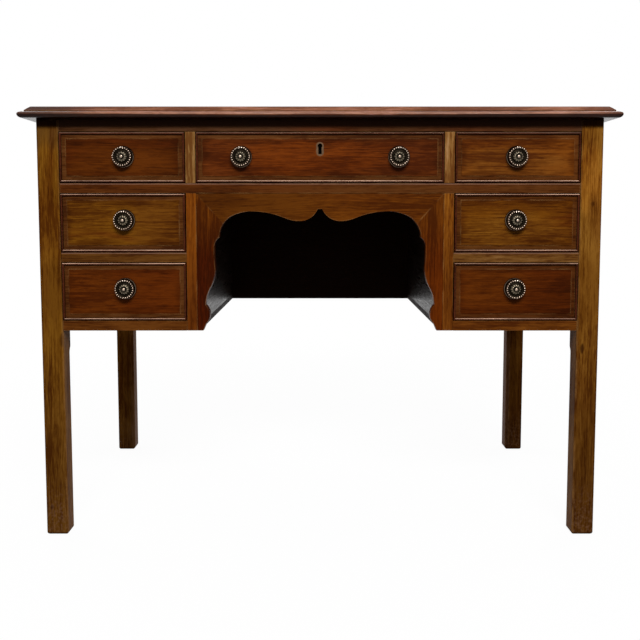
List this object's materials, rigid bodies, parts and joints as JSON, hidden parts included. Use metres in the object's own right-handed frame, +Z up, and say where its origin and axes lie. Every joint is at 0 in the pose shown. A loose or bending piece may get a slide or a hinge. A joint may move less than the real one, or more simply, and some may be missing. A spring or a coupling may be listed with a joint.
{
  "type": "writing table",
  "caption": "Knee-hole writing table with a moulded top, square chamfered legs, cockbeaded drawers with beaded brass knobs and a shaped arch over the knee hole.",
  "frame": {"origin": "on the floor, under the middle of the top", "axes": "+Z up, +X to the right of a person who faces the drawers, -Y out of the drawer fronts"},
  "size_m": [1.05, 0.58, 0.775],
  "materials": {
    "top_mahogany": "polished red-brown mahogany, glossy",
    "frame_mahogany": "polished golden-brown mahogany, satin",
    "drawer_mahogany": "polished red-brown mahogany with darker streaks, satin",
    "arch_mahogany": "polished dark red-brown mahogany, satin",
    "cockbead_mahogany": "polished mahogany bead, worn bright on its nose",
    "drawer_lining": "plain unpolished hardwood",
    "inside_wood": "plain unpolished softwood",
    "knee_panel_wood": "dark stained, worn to a dull sheen",
    "aged_brass": "dark antique brass, bright where it is worn",
    "lock_brass": "dull brass",
    "screw_steel": "dull old steel"
  },
  "bodies": {
    "carcass": {"arch_apron": "arch_mahogany", "arch_bracket_left": "arch_mahogany", "arch_bracket_right": "arch_mahogany", "back_panel": "frame_mahogany", "bottom_rails": "frame_mahogany", "drawer_rail": "frame_mahogany", "front_leg_left": "frame_mahogany", "front_leg_right": "frame_mahogany", "guides_and_stops": "inside_wood", "knee_panel_left": "knee_panel_wood", "knee_panel_right": "knee_panel_wood", "middle_rails": "frame_mahogany", "pedestal_stiles": "frame_mahogany", "rear_leg_left": "frame_mahogany", "rear_leg_right": "frame_mahogany", "runners_and_kickers": "inside_wood", "side_panel_left": "frame_mahogany", "side_panel_right": "frame_mahogany", "table_top": "top_mahogany", "top_rail": "frame_mahogany", "top_screws": "screw_steel", "upper_dividers": "frame_mahogany"},
    "upper_left_drawer": {"upper_left_drawer_bottom": "drawer_lining", "upper_left_drawer_box": "drawer_lining", "upper_left_drawer_cockbead": "cockbead_mahogany", "upper_left_drawer_front": "drawer_mahogany", "upper_left_drawer_knob": "aged_brass"},
    "upper_right_drawer": {"upper_right_drawer_bottom": "drawer_lining", "upper_right_drawer_box": "drawer_lining", "upper_right_drawer_cockbead": "cockbead_mahogany", "upper_right_drawer_front": "drawer_mahogany", "upper_right_drawer_knob": "aged_brass"},
    "middle_left_drawer": {"middle_left_drawer_bottom": "drawer_lining", "middle_left_drawer_box": "drawer_lining", "middle_left_drawer_cockbead": "cockbead_mahogany", "middle_left_drawer_front": "drawer_mahogany", "middle_left_drawer_knob": "aged_brass"},
    "middle_right_drawer": {"middle_right_drawer_bottom": "drawer_lining", "middle_right_drawer_box": "drawer_lining", "middle_right_drawer_cockbead": "cockbead_mahogany", "middle_right_drawer_front": "drawer_mahogany", "middle_right_drawer_knob": "aged_brass"},
    "lower_left_drawer": {"lower_left_drawer_bottom": "drawer_lining", "lower_left_drawer_box": "drawer_lining", "lower_left_drawer_cockbead": "cockbead_mahogany", "lower_left_drawer_front": "drawer_mahogany", "lower_left_drawer_knob": "aged_brass"},
    "lower_right_drawer": {"lower_right_drawer_bottom": "drawer_lining", "lower_right_drawer_box": "drawer_lining", "lower_right_drawer_cockbead": "cockbead_mahogany", "lower_right_drawer_front": "drawer_mahogany", "lower_right_drawer_knob": "aged_brass"},
    "centre_drawer": {"centre_drawer_bottom": "drawer_lining", "centre_drawer_box": "drawer_lining", "centre_drawer_cockbead": "cockbead_mahogany", "centre_drawer_front": "drawer_mahogany", "centre_drawer_knob": "aged_brass", "escutcheon": "aged_brass", "lock_case": "lock_brass"},
    "bolt": {"lock_bolt": "lock_brass"}
  },
  "joints": [
    {"name": "upper_left_drawer_slide", "type": "slide", "parent": "carcass", "child": "upper_left_drawer", "axis": [0, -1, 0], "range_m": [0, 0.33]},
    {"name": "upper_right_drawer_slide", "type": "slide", "parent": "carcass", "child": "upper_right_drawer", "axis": [0, -1, 0], "range_m": [0, 0.33]},
    {"name": "middle_left_drawer_slide", "type": "slide", "parent": "carcass", "child": "middle_left_drawer", "axis": [0, -1, 0], "range_m": [0, 0.33]},
    {"name": "middle_right_drawer_slide", "type": "slide", "parent": "carcass", "child": "middle_right_drawer", "axis": [0, -1, 0], "range_m": [0, 0.33]},
    {"name": "lower_left_drawer_slide", "type": "slide", "parent": "carcass", "child": "lower_left_drawer", "axis": [0, -1, 0], "range_m": [0, 0.33]},
    {"name": "lower_right_drawer_slide", "type": "slide", "parent": "carcass", "child": "lower_right_drawer", "axis": [0, -1, 0], "range_m": [0, 0.33]},
    {"name": "centre_drawer_slide", "type": "slide", "parent": "carcass", "child": "centre_drawer", "axis": [0, -1, 0], "range_m": [0, 0.33]},
    {"name": "bolt_lift", "type": "slide", "parent": "centre_drawer", "child": "bolt", "axis": [0, 0, 1], "range_m": [0, 0.007]}
  ]
}
